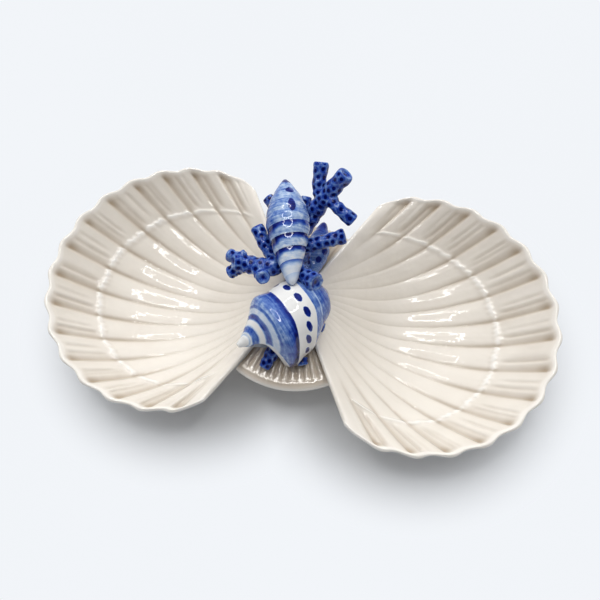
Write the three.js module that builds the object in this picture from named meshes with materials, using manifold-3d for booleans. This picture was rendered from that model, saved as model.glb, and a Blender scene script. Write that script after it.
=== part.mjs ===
// A glazed serving dish: two fluted scallop bowls joined by a ribbed hinge plate,
// with a handle of painted sea shells and coral branches luted onto the plate.
// Millimetres, +Z up, origin on the table under the middle of the dish, bowls along X.
import * as THREE from 'three';
import { LoftGeometry } from 'three/addons/geometries/LoftGeometry.js';
import { mergeVertices } from 'three/addons/utils/BufferGeometryUtils.js';
import Module from 'manifold-3d';

const wasm = await Module();
wasm.setup();

// Driving dimensions of the bowls.
const overallLength = 340;
const rimHeight = 55;
const bowlDepth = 48;
const rimRadius = 89;
const wall = 4.6;
const rimThickness = 3.4;
const fanHalfAngle = THREE.MathUtils.degToRad(60.7);
const hingeRadius = 14;
const cornerAngle = THREE.MathUtils.degToRad(7);
const cornerCut = 6;
const roundWallPower = 2.3;
const roundWallSoftness = 0.07;
const straightWallPower = 3;
const straightWallSoftness = 0.12;

// Flutes, the scalloped edge and the growth line.
const ribsPerShell = 16;
const grooveDepth = 1.9;
const edgeRipple = 2.6;
const growthCentre = 73;
const growthRadius = 65.8;
const growthRidge = 0.9;
const growthWidth = 1.8;
const growthFade = THREE.MathUtils.degToRad(8);
const grooveSharpness = 0.8;
const rippleRise = 4;
const lipShare = 0.975;
const lipFade = 0.03;
const rimStart = 0.88;
const rightRibShift = 0;
const leftRibShift = -0.34;
const ribTop = 0.5;

// Foot ring under each bowl.
const footRadius = 31;
const footWidth = 5;
const footChamfer = 1;
const footEmbed = 2;
const footSides = 32;

// Hinge plate.
const plateRadius = 60;
const plateTop = 51.5;
const plateDrop = 5;
const plateThickness = 6;
const plateArch = 0.6;
const plateRibs = 72;
const plateRibHeight = 1.3;
const plateRibFade = 4;
const plateLip = 5;
const plateEdge = 1.5;
const plateHub = 1;

// Sea shells: where the body whorl swells and ends, how the whorls crowd towards the spire,
// how deep and wide the mouth is let in beside the lip, and the arch that is cut out under the
// lip's start, as shares of the length and turns round the shell.
const bodyStart = [0.195, 0.31];
const bodyEnd = [0.455, 0.845];
const whorlCrowding = 0.75;
const bodySmoothing = 0.7;
const lipGrowth = 3;
const lipTurn = 0.995;
const mouthDepth = 0.35;
const mouthWidth = 0.16;
const archDepth = 0.4;
const archTurn = [0.78, 0.86];
const archFoot = 0.245;
const archSlope = 0.65;
const archEdge = 0.03;
const archSpire = [0.08, 0.165];
const thinnestTip = 0.3;

// Coral fingers: rings and sides, and the blunt end as shares of the last radius.
const ringsPerSpan = 3;
const fingerSides = 10;
const bluntEnd = [[0.8, 0.25], [0.45, 0.36]];

// Luted joints: the hairline left between two neighbouring pieces.
const joint = 0.3;

const cream = new THREE.Color('#e3dccf');
const paleBlue = new THREE.Color('#a9bfe4');
const cobalt = new THREE.Color('#27409f');
const glazeRoughness = 0.13;

const rimCentre = (overallLength - edgeRipple) / 2 - rimRadius;
const ribPitch = (2 * fanHalfAngle) / ribsPerShell;

const { lerp, clamp, smoothstep } = THREE.MathUtils;
const vec = (x, y, z) => new THREE.Vector3(x, y, z);
const steps = (from, to, count) => Array.from({ length: count + 1 }, (_, i) => lerp(from, to, i / count));
const shifted = (x, y, z) => new THREE.Matrix4().makeTranslation(x, y, z);

// A closed skin through a row of closed sections.
const loft = (sections) => new LoftGeometry(sections, { capStart: true, capEnd: true });

function solid(geometry) {
  const bare = new THREE.BufferGeometry().copy(geometry);
  bare.deleteAttribute('normal');
  bare.deleteAttribute('uv');
  const merged = mergeVertices(bare);
  const vertProperties = new Float32Array(merged.attributes.position.array);
  const triVerts = new Uint32Array(merged.index.array);
  return new wasm.Manifold(new wasm.Mesh({ numProp: 3, vertProperties, triVerts }));
}

// A named mesh of a finished body, with its own origin and directions at the given place.
function piece(name, body, color, place) {
  const { vertProperties, triVerts } = body.getMesh();
  const geometry = new THREE.BufferGeometry();
  geometry.setAttribute('position', new THREE.BufferAttribute(new Float32Array(vertProperties), 3));
  geometry.setIndex(new THREE.BufferAttribute(new Uint32Array(triVerts), 1));
  geometry.applyMatrix4(place.clone().invert());
  geometry.computeVertexNormals();
  const glaze = new THREE.MeshStandardMaterial({ color, roughness: glazeRoughness, metalness: 0 });
  const mesh = new THREE.Mesh(geometry, glaze);
  mesh.name = name;
  mesh.applyMatrix4(place);
  return mesh;
}

// Eases a wall into its edge, so that the rim rolls over instead of ending in a knife.
function rolled(value, softness) {
  const raised = Math.hypot(Math.max(value, 0), softness) - softness;
  return raised / (Math.hypot(1, softness) - softness);
}

// How far a ray lies into the rounded corner where the scalloped rim meets a straight edge.
function intoCorner(angle) {
  return Math.max(0, Math.abs(angle) - fanHalfAngle + cornerAngle) / cornerAngle;
}

// Distance from the hinge to the scalloped rim, along one ray of the fan.
function rimReach(angle) {
  const across = rimCentre * Math.sin(angle);
  const reach = rimCentre * Math.cos(angle) + Math.sqrt(rimRadius ** 2 - across ** 2);
  return reach - cornerCut * intoCorner(angle) ** 2;
}

// Share of the way from hinge to rim at which a ray crosses the round growth line.
function growthShare(angle) {
  const across = growthCentre * Math.sin(angle);
  const reach = growthCentre * Math.cos(angle) + Math.sqrt(growthRadius ** 2 - across ** 2);
  return (reach - hingeRadius) / (rimReach(angle) - hingeRadius);
}

// Depth of the smooth bowl below its rim: the round wall times the two straight hinge-side walls.
function depthAt(x, y) {
  const fromCentre = Math.hypot(x - rimCentre, y) / rimRadius;
  const roundWall = rolled(1 - fromCentre ** roundWallPower, roundWallSoftness);
  const edgeReach = rimCentre * Math.sin(fanHalfAngle);
  const straightWalls = [1, -1].map((side) => {
    const inside = x * Math.sin(fanHalfAngle) - side * y * Math.cos(fanHalfAngle);
    const toEdge = 1 - clamp(inside / edgeReach, 0, 1);
    return rolled(1 - toEdge ** straightWallPower, straightWallSoftness);
  });
  return bowlDepth * roundWall * straightWalls[0] * straightWalls[1];
}

function slopeAt(x, y) {
  const nudge = 0.5;
  const alongX = depthAt(x + nudge, y) - depthAt(x - nudge, y);
  const alongY = depthAt(x, y + nudge) - depthAt(x, y - nudge);
  return Math.hypot(alongX, alongY) / (2 * nudge);
}

// One point of a bowl, at a share of the way from hinge to rim along a ray.
function bowlPoint(angle, share, ribShift, under) {
  const phase = Math.PI * (angle / ribPitch + ribShift);
  const groove = 1 - Math.abs(Math.sin(phase)) ** grooveSharpness;
  const lobe = (edgeRipple / 2) * Math.cos(2 * phase) * (1 - intoCorner(angle));
  const reach = lerp(hingeRadius, rimReach(angle), share) + lobe * share ** rippleRise;
  const x = reach * Math.cos(angle);
  const y = reach * Math.sin(angle);
  const pastLine = (share - growthShare(angle)) * (rimReach(angle) - hingeRadius);
  const ridgeEnds = smoothstep(fanHalfAngle - Math.abs(angle), 0, growthFade);
  const ridge = growthRidge * ridgeEnds * Math.exp(-((pastLine / growthWidth) ** 2));
  const fluted = share * (1 - smoothstep(share, lipShare - lipFade, lipShare));
  const top = rimHeight - depthAt(x, y) - grooveDepth * groove * fluted;
  if (!under) return vec(x, y, top + ridge);
  const atRim = smoothstep(share, rimStart, 1);
  return vec(x, y, top - lerp(wall * Math.hypot(1, slopeAt(x, y)), rimThickness, atRim));
}

// Rows of the upper face: spread from the hinge to the growth line, then from there to the lip.
const innerRows = [0, 0.1, 0.24, 0.42, 0.61, 0.81, 0.97];
const outerRows = [0, 0.13, 0.45, 0.75, 1];
const topShares = (angle) => {
  const line = growthShare(angle);
  const inner = innerRows.map((row) => row * line);
  const outer = outerRows.map((row) => lerp(line, lipShare, row));
  return [...inner, ...outer, 1];
};
const underShares = [1, 0.95, 0.85, 0.68, 0.48, 0.25, 0.08, 0];
const columnsPerRib = 4;
const fanAngles = steps(-fanHalfAngle, fanHalfAngle, columnsPerRib * ribsPerShell);

function footRing() {
  const ringTop = rimHeight - depthAt(rimCentre + footRadius, 0) - wall + footEmbed;
  const half = footWidth / 2;
  const profile = [
    [footRadius - half, footChamfer], [footRadius - half + footChamfer, 0],
    [footRadius + half - footChamfer, 0], [footRadius + half, footChamfer],
    [footRadius + half, ringTop], [footRadius - half, ringTop], [footRadius - half, footChamfer],
  ];
  const ring = new THREE.LatheGeometry(profile.map(([r, z]) => new THREE.Vector2(r, z)), footSides);
  ring.rotateX(Math.PI / 2);
  ring.translate(rimCentre, 0, 0);
  return ring;
}

function scallopBowl(ribShift, place) {
  const sections = fanAngles.map((angle) => [
    ...topShares(angle).map((share) => bowlPoint(angle, share, ribShift, false)),
    ...underShares.map((share) => bowlPoint(angle, share, ribShift, true)),
  ]);
  return solid(loft(sections).applyMatrix4(place)).add(solid(footRing().applyMatrix4(place)));
}

// The bowl filled to well above its rim and left unfluted. It clears the hinge plate for the bowl,
// with the joint all round and room under it for the deepest groove.
function bowlFill(place) {
  const angles = steps(-fanHalfAngle, fanHalfAngle, ribsPerShell);
  const sections = angles.map((angle) => {
    const outside = underShares.map((share) => bowlPoint(angle, share, ribTop, true));
    const lid = [outside.at(-1), outside[0]].map((point) => vec(point.x, point.y, rimHeight + bowlDepth));
    return [...lid, ...outside];
  });
  const room = shifted(-joint / Math.sin(fanHalfAngle), 0, -joint - grooveDepth / 2);
  return solid(loft(sections).applyMatrix4(room).applyMatrix4(place));
}

// Height of the ribbed plate at a distance from its middle.
function plateHeight(radius, angle) {
  const ribEnd = plateRadius - plateLip;
  const fadeIn = smoothstep(radius, hingeRadius, 2 * hingeRadius);
  const ribbed = fadeIn * (1 - smoothstep(radius, ribEnd - plateRibFade, ribEnd));
  const rib = Math.abs(Math.sin((plateRibs * angle) / 2));
  return plateTop - plateDrop * (radius / plateRadius) ** 2 - plateRibHeight * ribbed * (1 - rib);
}

// Angles round the plate, close together where its ribs show in the two notches.
const notch = Math.PI / 2 - fanHalfAngle;
const ribStep = (2 * Math.PI) / plateRibs;
const stepsPerRib = 3;
const coveredSteps = 10;
const notchRibs = Math.ceil((2 * notch) / ribStep + 1);
const plateAngles = [Math.PI / 2, -Math.PI / 2].flatMap((middle) => {
  const half = (notchRibs * ribStep) / 2;
  const ribbed = steps(middle - half, middle + half, stepsPerRib * notchRibs);
  const covered = steps(middle + half, middle + Math.PI - half, coveredSteps);
  return [...ribbed.slice(0, -1), ...covered.slice(0, -1)];
});

// The plain plate, before the bowls are let into it. A lift makes the room that seated pieces keep.
function plateDisc(lift) {
  const ribEnd = plateRadius - plateLip;
  const ribMiddle = (ribEnd + 2 * hingeRadius) / 2;
  const ring = (radius, height) =>
    plateAngles.map((a) => vec(radius * Math.cos(a), radius * Math.sin(a), height(radius, a)));
  const upper = (radius, angle) => plateHeight(radius, angle) + lift;
  const under = (radius) => plateTop - plateDrop - plateThickness + plateArch * (radius / plateRadius) ** 2;
  const upperRings = [ribEnd, ribEnd - plateRibFade, ribMiddle, 2 * hingeRadius, hingeRadius, plateHub];
  return loft([
    ring(plateHub, under),
    ring(plateRadius - plateEdge, under),
    ring(plateRadius, (radius) => under(radius) + plateEdge),
    ring(plateRadius, (radius) => upper(radius, 0) - plateEdge),
    ring(plateRadius - plateEdge, upper),
    ...upperRings.map((radius) => ring(radius, upper)),
  ]);
}

// A sea shell about +Z from its spire tip: a spindle outline with a spiral suture and, on a
// shell with an open mouth, a lip that grows round the last whorl and stands over the mouth.
function seaShell({ length, outline, whorls, suture, lip = 0, rings = 26, sides = 18 }, grow = 0) {
  const profile = outline.map(([share, radius]) => new THREE.Vector2(share * length, radius));
  const curve = new THREE.SplineCurve(profile);
  const turns = steps(0, 1, sides).slice(0, lip ? sides + 1 : -1);
  const sections = curve.getPoints(rings).map(({ x: along, y: radius }) => {
    const share = clamp(along / length, 0, 1);
    const body = smoothstep(share, ...bodyStart) * (1 - smoothstep(share, ...bodyEnd));
    return turns.map((turn) => {
      const whorl = (whorls * share ** whorlCrowding + turn) % 1;
      const bulge = 1 - suture * (2 * whorl - 1) ** 2 * (1 - bodySmoothing * body);
      const flare = 1 + lip * body * turn ** lipGrowth;
      const mouth = lip ? 1 - mouthDepth * body * Math.exp(-((turn / mouthWidth) ** 2)) : 1;
      const underArch = archFoot + archSlope * (turn - archTurn[1]) - share;
      const besideMouth = smoothstep(turn, ...archTurn) * smoothstep(share, ...archSpire);
      const arch = besideMouth * smoothstep(underArch, 0, archEdge);
      const cut = lip ? 1 - archDepth * arch : 1;
      const reach = Math.max(radius, thinnestTip) * bulge * flare * mouth * cut + grow;
      const angle = 2 * Math.PI * Math.min(turn, lipTurn);
      return vec(reach * Math.cos(angle), reach * Math.sin(angle), along + grow * (2 * share - 1));
    });
  });
  return loft(sections);
}

// The place of a shell laid along tip to end, turned so that its lip faces a given point.
function laid({ tip, end, facing }) {
  const axis = end.clone().sub(tip).normalize();
  const side = facing.clone().sub(tip);
  side.addScaledVector(axis, -side.dot(axis)).normalize();
  const across = axis.clone().cross(side);
  return new THREE.Matrix4().makeBasis(side, across, axis).setPosition(tip);
}

// A coral finger along a bent path, with a blunt rounded end.
function finger(points, radii, grow = 0) {
  const curve = new THREE.CatmullRomCurve3(points.map((p) => vec(...p)), false, 'centripetal');
  const count = ringsPerSpan * (points.length - 1);
  const { normals, binormals } = curve.computeFrenetFrames(count);
  const ring = (i, radius, push) => {
    const centre = curve.getPoint(i / count).addScaledVector(curve.getTangent(i / count), push);
    return steps(0, 2 * Math.PI, fingerSides).slice(0, -1).map((a) => centre.clone()
      .addScaledVector(normals[i], radius * Math.cos(a))
      .addScaledVector(binormals[i], radius * Math.sin(a)));
  };
  const girth = (i) => {
    const place = (i / count) * (radii.length - 1);
    const from = Math.min(Math.floor(place), radii.length - 2);
    return lerp(radii[from], radii[from + 1], place - from) + grow;
  };
  const rings = Array.from({ length: count + 1 }, (_, i) => ring(i, girth(i), 0));
  const last = girth(count);
  const end = bluntEnd.map(([narrow, push]) => ring(count, narrow * last, push * last));
  return loft([...rings, ...end]);
}

const branch = (fingers, grow) => fingers
  .map(([points, radii]) => solid(finger(points, radii, grow)))
  .reduce((joined, next) => joined.add(next));

// The handle is set out from the middle of the plate's top face.
const shells = {
  whelk_shell: {
    length: 65.6,
    outline: [
      [0, 1.4], [0.03, 2.4], [0.06, 3.5], [0.127, 6.6], [0.224, 11.6], [0.35, 19.1],
      [0.496, 18.2], [0.631, 19.3], [0.787, 16.9], [0.922, 12], [1, 3.1],
    ],
    whorls: 4.5,
    suture: 0.12,
    lip: 0.7,
    tip: vec(-26.5, -45.6, 23.7),
    end: vec(19.5, 0.8, 17.5),
    facing: vec(0.4, -44.6, -2),
  },
  spindle_shell: {
    length: 69,
    outline: [
      [0, 1], [0.04, 3.4], [0.2, 7.4], [0.42, 12], [0.6, 13.6], [0.78, 10.8], [0.94, 4.6], [1, 1.4],
    ],
    whorls: 6,
    suture: 0.08,
    tip: vec(0.3, -7.6, 38.5),
    end: vec(-16, 59, 47.5),
    facing: vec(30, 0, 40),
  },
  rear_shell: {
    length: 42,
    outline: [[0, 0.8], [0.06, 2.8], [0.3, 6.6], [0.55, 8.4], [0.8, 6.2], [1, 1.2]],
    whorls: 4,
    suture: 0.1,
    rings: 18,
    sides: 16,
    tip: vec(9.3, 56, 7),
    end: vec(7, 14, 7.6),
    facing: vec(30, 30, 0),
  },
};

// Fingers of each coral branch: bend points and the radius at each, root first.
const corals = {
  coral_stem: [
    [[[-2, 19, -2], [-3, 21, 12], [-4, 24, 24], [-5, 26, 36]], [12, 9.5, 8.5, 8]],
  ],
  coral_antler: [
    [[[-3, 30, 30], [3, 42, 36], [11.5, 49.4, 49.5], [21.7, 56.8, 64.5]], [5.6, 5.8, 5.4, 4.9]],
    [[[9, 49, 47], [6.4, 53.8, 49.5], [5.6, 66.7, 58.5]], [4.2, 4.2, 4.5]],
    [[[13, 49, 51.5], [18.7, 43.4, 50.5], [29.5, 38.2, 45.5]], [4.2, 3.9, 4]],
  ],
  coral_right_branch: [
    [[[0, 22.5, 31], [12.8, 26.2, 34.5], [25.3, 30.8, 37.5]], [4.6, 4.4, 4.6]],
  ],
  coral_left_arm: [
    [[[-5, 18, 28], [-17, 5, 32], [-31, 5.5, 31], [-38, 4, 34]], [5.8, 6, 5.6, 4.4]],
    [[[-31, 5.5, 31], [-38, 8, 32], [-43, 9.5, 32]], [4.4, 4.2, 3.8]],
    [[[-31, 5.5, 30], [-37, 3, 27], [-41.5, 0.6, 25]], [4.4, 4.2, 3.8]],
    [[[-24, 4, 31], [-20, -1.5, 33], [-18.4, -4, 36]], [4.6, 4.6, 4.2]],
    [[[-32, 7, 32], [-35.6, 11, 35]], [3.4, 2.6]],
  ],
  coral_left_finger: [
    [[[-7, 14, 28], [-15.2, 12.6, 31], [-28.4, 27.4, 38.5]], [4.6, 4.4, 4.1]],
  ],
  coral_cross_branch: [
    [[[-4, 15, 26], [2.5, 5.5, 30.5], [13.3, -2.5, 36.5]], [5.4, 5.4, 5.6]],
  ],
  coral_back_left_finger: [
    [[[-6, 32, 30], [-16, 42, 34], [-25.9, 50, 38.5]], [4.4, 4, 3.4]],
  ],
  coral_back_right_finger: [
    [[[-3, 33, 29], [-2.5, 44, 33.5], [-2, 53.8, 38.5]], [4.4, 4, 3.4]],
  ],
  coral_front_leg: [
    [[[-4, -33, 5], [-8, -40, 3.6], [-11.6, -49, 0.6]], [5, 4.6, 3.4]],
  ],
  coral_front_nub: [
    [[[10.5, -40, 1.2], [11.2, -41.6, 0.9], [11.8, -43.2, 0.4]], [4, 3.8, 3.4]],
  ],
  coral_side_nub: [
    [[[10, -17, 7], [16, -18.4, 6.6], [21, -19.4, 6.4]], [4, 3.6, 3]],
  ],
};

// The right bowl lies along +X; the left one is turned half round about the hinge.
const bowls = [
  { name: 'left_shell', ribShift: leftRibShift, place: new THREE.Matrix4().makeRotationZ(Math.PI) },
  { name: 'right_shell', ribShift: rightRibShift, place: new THREE.Matrix4() },
];

const dish = new THREE.Group();
const handle = new THREE.Group();
handle.position.z = plateTop;
const toHandle = shifted(0, 0, -plateTop);
const taken = [solid(plateDisc(joint).applyMatrix4(toHandle))];
let plate = solid(plateDisc(0));

for (const { name, ribShift, place } of bowls) {
  dish.add(piece(name, scallopBowl(ribShift, place), cream, place));
  plate = plate.subtract(bowlFill(place));
  const inHandle = toHandle.clone().multiply(place);
  const pushed = shifted(-joint / Math.sin(fanHalfAngle), 0, joint).premultiply(inHandle);
  taken.push(scallopBowl(ribShift, inHandle).add(scallopBowl(ribShift, pushed)));
}
dish.add(piece('hinge_fan', plate, cream, shifted(0, 0, plateTop)));

// Each handle piece in turn is fitted to the plate, the bowls and the pieces set before it.
function luted(name, make, color, place) {
  const fitted = taken.reduce((body, neighbour) => body.subtract(neighbour), make(0));
  handle.add(piece(name, fitted, color, place));
  taken.push(make(joint));
}

for (const [name, spec] of Object.entries(shells)) {
  const place = laid(spec);
  luted(name, (grow) => solid(seaShell(spec, grow).applyMatrix4(place)), paleBlue, place);
}
for (const [name, fingers] of Object.entries(corals)) {
  const [[[root]]] = fingers;
  luted(name, (grow) => branch(fingers, grow), cobalt, shifted(...root));
}

const part = new THREE.Group();
part.add(dish, handle);

export default part;
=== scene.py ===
# %% [markdown]
# # A double shell dish
# The dish is glazed earthenware: two fluted scallop bowls, a ribbed hinge plate between them, and a
# handle of painted sea shells and cobalt-blue coral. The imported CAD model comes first. It fixes every
# size and place, and each piece below only dresses one of its solids with finer relief and a glaze.

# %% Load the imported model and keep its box
import math
import bpy
import numpy as np
from mathutils import Matrix, Vector
from mathutils.kdtree import KDTree


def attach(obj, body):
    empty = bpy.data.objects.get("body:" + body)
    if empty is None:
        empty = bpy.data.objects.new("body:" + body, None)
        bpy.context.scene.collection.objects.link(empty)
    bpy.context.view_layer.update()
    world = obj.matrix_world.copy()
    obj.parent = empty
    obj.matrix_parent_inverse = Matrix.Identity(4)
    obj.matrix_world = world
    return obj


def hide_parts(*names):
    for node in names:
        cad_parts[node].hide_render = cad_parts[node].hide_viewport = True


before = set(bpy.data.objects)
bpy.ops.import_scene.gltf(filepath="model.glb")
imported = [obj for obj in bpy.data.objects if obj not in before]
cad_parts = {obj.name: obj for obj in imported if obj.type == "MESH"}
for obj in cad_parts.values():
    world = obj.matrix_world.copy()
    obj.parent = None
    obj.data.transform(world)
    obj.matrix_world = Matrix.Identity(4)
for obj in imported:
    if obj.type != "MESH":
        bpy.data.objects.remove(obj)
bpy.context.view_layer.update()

# %% [markdown]
# ## Camera
# The picture is taken by hand from above the front edge, so the camera is a little turned and a
# little rolled. A camera can be aimed with a Track To constraint, but that leaves the roll out.
# Building its matrix from azimuth, elevation and roll keeps all three readable.

# %% Place the camera
def camera_axes(azimuth, elevation, roll):
    a, e, r = (math.radians(angle) for angle in (azimuth, elevation, roll))
    back = Vector((math.sin(a) * math.cos(e), -math.cos(a) * math.cos(e), math.sin(e)))
    level = Vector((math.cos(a), math.sin(a), 0))
    upright = back.cross(level)
    right = math.cos(r) * level + math.sin(r) * upright
    up = -math.sin(r) * level + math.cos(r) * upright
    return right, up, back


eye = Vector((0.04494, -0.15958, 0.43037))
right, up, back = camera_axes(azimuth=14.93, elevation=66.47, roll=-5.12)
camera = bpy.data.objects.new("camera", bpy.data.cameras.new("camera"))
camera.data.sensor_width = 36
camera.data.lens = 37.71
camera.data.clip_start = 0.01
camera.matrix_world = Matrix((right, up, back)).transposed().to_4x4()
camera.location = eye
bpy.context.scene.collection.objects.link(camera)
bpy.context.scene.camera = camera
bpy.context.scene.view_settings.view_transform = "Standard"
print("camera looks along", tuple(round(-v, 3) for v in back))

# %% [markdown]
# ## Node helpers
# Materials are easier to read when each line says what is computed. These helpers wrap the nodes
# used most: arithmetic, a smooth step between two values, a mix of two colours and a mesh attribute.

# %% Small helpers for shader nodes
def plug(tree, socket, value):
    if isinstance(value, bpy.types.NodeSocket):
        tree.links.new(value, socket)
    else:
        socket.default_value = value


def calc(tree, operation, *values):
    node = tree.nodes.new("ShaderNodeMath")
    node.operation = operation
    for socket, value in zip(node.inputs, values):
        plug(tree, socket, value)
    return node.outputs[0]


def plus(tree, first, second):
    return calc(tree, "ADD", first, second)


def minus(tree, first, second):
    return calc(tree, "SUBTRACT", first, second)


def times(tree, first, second):
    return calc(tree, "MULTIPLY", first, second)


def larger(tree, first, second):
    return calc(tree, "MAXIMUM", first, second)


def step(tree, value, low, high):
    node = tree.nodes.new("ShaderNodeMapRange")
    node.interpolation_type = "SMOOTHSTEP"
    for name, setting in (("Value", value), ("From Min", low), ("From Max", high)):
        plug(tree, node.inputs[name], setting)
    return node.outputs["Result"]


def blend(tree, amount, first, second, mode="MIX"):
    node = tree.nodes.new("ShaderNodeMix")
    node.data_type = "RGBA"
    node.blend_type = mode
    for index, value in ((0, amount), (6, first), (7, second)):
        plug(tree, node.inputs[index], value)
    return node.outputs[2]


def mesh_value(tree, name):
    node = tree.nodes.new("ShaderNodeAttribute")
    node.attribute_name = name
    return node.outputs["Fac"]


def place(tree):
    return tree.nodes.new("ShaderNodeTexCoord").outputs["Object"]


def noise(tree, coordinates, scale, detail=2.0, rough=0.5):
    node = tree.nodes.new("ShaderNodeTexNoise")
    settings = {"Vector": coordinates, "Scale": scale, "Detail": detail, "Roughness": rough}
    for name, value in settings.items():
        plug(tree, node.inputs[name], value)
    return node.outputs["Fac"]


def node_group(name, inputs, outputs):
    group = bpy.data.node_groups.new(name, "ShaderNodeTree")
    for way, sockets in (("INPUT", inputs), ("OUTPUT", outputs)):
        for title, kind in sockets.items():
            group.interface.new_socket(name=title, in_out=way, socket_type="NodeSocket" + kind)
    return group, group.nodes.new("NodeGroupInput").outputs, group.nodes.new("NodeGroupOutput").inputs


def use_group(tree, group, **values):
    node = tree.nodes.new("ShaderNodeGroup")
    node.node_tree = group
    for name, value in values.items():
        plug(tree, node.inputs[name], value)
    return node.outputs


def srgb(red, green, blue):
    def linear(value):
        share = value / 255
        return share / 12.92 if share <= 0.04045 else ((share + 0.055) / 1.055) ** 2.4
    return (linear(red), linear(green), linear(blue), 1)


print("cream in linear light:", tuple(round(v, 3) for v in srgb(237, 231, 222)[:3]))

# %% [markdown]
# ## Floor, backdrop and light
# The dish stands on a pale, faintly blue sheet that is evenly bright to the edges of the picture. A
# single lamp can't do that, so the sheet is a real, shaded floor close to the dish, where its shadow
# falls, and turns into a plain glow further out. The glow is for the camera and for reflections only
# (Light Path), so it puts no light on the dish. A round lamp hangs over the table, and every glossy
# curve shows it as a small white ring. An area lamp has no hole, so the lamp is a flat ring mesh
# with an emission material, hidden from the camera. The sky adds a broad soft light from above and
# a little from behind, as a softbox over the table does, and leaves the low sides dim. Mirrored rays
# see a weaker sky, so that dark blue glazes keep their depth and the ring stays the clear highlight.

# %% Pale floor
def new_object(name, points, faces):
    mesh = bpy.data.meshes.new(name)
    mesh.from_pydata(points, [], faces)
    made = bpy.data.objects.new(name, mesh)
    bpy.context.scene.collection.objects.link(made)
    return made


half_floor = 4.0
sheet_tone, floor_shade = srgb(240, 243, 247), 0.88
floor_corners = ((-1, -1), (1, -1), (1, 1), (-1, 1))
floor = new_object("floor", [(x * half_floor, y * half_floor, 0) for x, y in floor_corners], [(0, 1, 2, 3)])
sheet = bpy.data.materials.new("pale_sheet")
sheet.use_nodes = True
tree = sheet.node_tree
shader = tree.nodes["Principled BSDF"]
grain = noise(tree, place(tree), 3.0)
sheet_color = blend(tree, grain, sheet_tone, srgb(243, 246, 250))
# The near floor is 0.88 of the glow's colour. That keeps the lit floor from outshining the far sheet, and as
# painted shade it deepens the dish's shadow.
shaded = blend(tree, 1.0, sheet_color, (floor_shade, floor_shade, floor_shade, 1), "MULTIPLY")
tree.links.new(shaded, shader.inputs["Base Color"])
shader.inputs["Roughness"].default_value = 0.7
shader.inputs["Specular IOR Level"].default_value = 0.1
print("floor side in m:", 2 * half_floor)

# %% Glow of the far sheet
shadow_under, shadow_reach = 0.006, 0.042
dish_circles = ((0.0797, 0.089), (-0.0797, 0.089), (0.0, 0.06))
outside = None
for centre_x, radius in dish_circles:
    gap = tree.nodes.new("ShaderNodeVectorMath")
    gap.operation = "DISTANCE"
    gap.inputs[1].default_value = (centre_x, 0, 0)
    tree.links.new(place(tree), gap.inputs[0])
    beyond = minus(tree, gap.outputs["Value"], radius)
    outside = beyond if outside is None else calc(tree, "MINIMUM", outside, beyond)
far = step(tree, outside, -shadow_under, shadow_reach)
rays = tree.nodes.new("ShaderNodeLightPath").outputs
seen = larger(tree, rays["Is Camera Ray"], rays["Is Glossy Ray"])
glow = tree.nodes.new("ShaderNodeEmission")
tree.links.new(sheet_color, glow.inputs["Color"])
glow.inputs["Strength"].default_value = 1.0
mixed = tree.nodes.new("ShaderNodeMixShader")
tree.links.new(times(tree, far, seen), mixed.inputs[0])
tree.links.new(shader.outputs[0], mixed.inputs[1])
tree.links.new(glow.outputs[0], mixed.inputs[2])
tree.links.new(mixed.outputs[0], tree.nodes["Material Output"].inputs["Surface"])
floor.data.materials.append(sheet)
print("shadow beyond the rim in m:", shadow_reach)

# %% Ring lamp and sky
def lamp_glow(name, color, strength, mirrored):
    """Glow of a lamp, with another strength where a glossy surface mirrors it."""
    material = bpy.data.materials.new(name)
    material.use_nodes = True
    tree = material.node_tree
    tree.nodes.clear()
    glow = tree.nodes.new("ShaderNodeEmission")
    glow.inputs["Color"].default_value = color
    seen = times(tree, tree.nodes.new("ShaderNodeLightPath").outputs["Is Glossy Ray"], mirrored - strength)
    tree.links.new(plus(tree, seen, strength), glow.inputs["Strength"])
    tree.links.new(glow.outputs[0], tree.nodes.new("ShaderNodeOutputMaterial").inputs["Surface"])
    return material


def ring_lamp(name, centre, inner, outer, strength, mirrored):
    sides = 96
    points = []
    for k in range(sides):
        turn = 2 * math.pi * k / sides
        for radius in (inner, outer):
            points.append((radius * math.cos(turn), radius * math.sin(turn), 0))
    count = len(points)
    faces = [(k, k + 1, (k + 3) % count, (k + 2) % count) for k in range(0, count, 2)]
    lamp = new_object(name, points, faces)
    lamp.location = centre
    lamp.visible_camera = False
    lamp.data.materials.append(lamp_glow(name, (1, 0.985, 0.96, 1), strength, mirrored))


lamp_place, lamp_radius, lamp_hole = (-0.03, 0.11, 0.52), 0.2, 0.84
lamp_strength, lamp_mirrored, mirrored_sky = 11.0, 18.0, 0.3
ring_lamp("ring_lamp", lamp_place, lamp_hole * lamp_radius, lamp_radius, lamp_strength, lamp_mirrored)
sky = bpy.data.worlds.new("sky")
sky.use_nodes = True
bpy.context.scene.world = sky
sky_tree = sky.node_tree
towards = sky_tree.nodes.new("ShaderNodeVectorMath")
towards.operation = "DOT_PRODUCT"
towards.inputs[1].default_value = (-0.14, 0.58, 0.8)
sky_tree.links.new(sky_tree.nodes.new("ShaderNodeTexCoord").outputs["Generated"], towards.inputs[0])
overhead = step(sky_tree, towards.outputs["Value"], 0.35, 0.97)
sky_color = blend(sky_tree, overhead, (0.18, 0.182, 0.186, 1), (1.5, 1.51, 1.52, 1))
rays = sky_tree.nodes.new("ShaderNodeLightPath").outputs
backdrop = blend(sky_tree, rays["Is Camera Ray"], sky_color, sheet_tone)
sky_tree.links.new(backdrop, sky_tree.nodes["Background"].inputs["Color"])
sky_strength = minus(sky_tree, 1.0, times(sky_tree, rays["Is Glossy Ray"], 1 - mirrored_sky))
sky_tree.links.new(sky_strength, sky_tree.nodes["Background"].inputs["Strength"])
print("ring lamp radius in m:", lamp_radius)

# %% [markdown]
# ## Meshes from grids
# The bowls, the plate and the sea shells are all skins over a grid: one direction runs along a ray
# or an axis, the other across or round it. Numpy works out all points at once, and each point keeps
# a few values, such as how deep it lies in a groove, that the glaze reads later as mesh attributes.

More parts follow.
